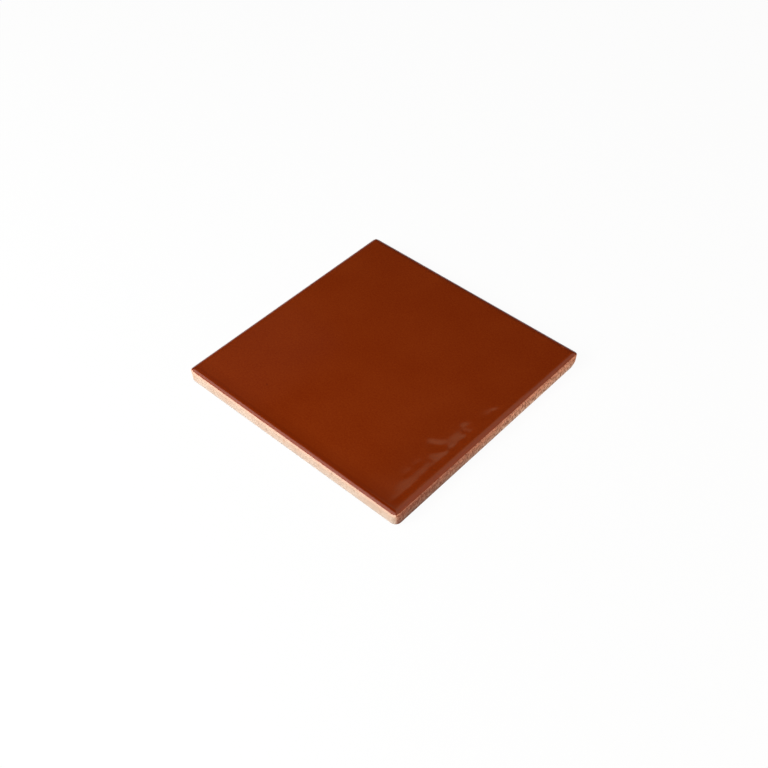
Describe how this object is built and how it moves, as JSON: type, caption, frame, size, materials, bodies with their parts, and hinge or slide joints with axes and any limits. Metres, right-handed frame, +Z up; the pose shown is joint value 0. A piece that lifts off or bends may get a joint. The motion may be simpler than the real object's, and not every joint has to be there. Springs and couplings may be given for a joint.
{
  "type": "square glazed wall tile",
  "caption": "Square pressed ceramic wall tile with a glossy red-brown glazed face rolled over at the rim, bare clay sides and a keyed back.",
  "frame": {"origin": "centre of the back, on the plane of its ribs", "axes": "+Z up out of the glazed face, X and Y along the sides"},
  "size_m": [0.15, 0.15, 0.0082],
  "materials": {
    "glazed_clay": "glossy fired glaze on the face, bare fired clay on the sides and back"
  },
  "bodies": {
    "root": {"tile": "glazed_clay"}
  },
  "joints": []
}
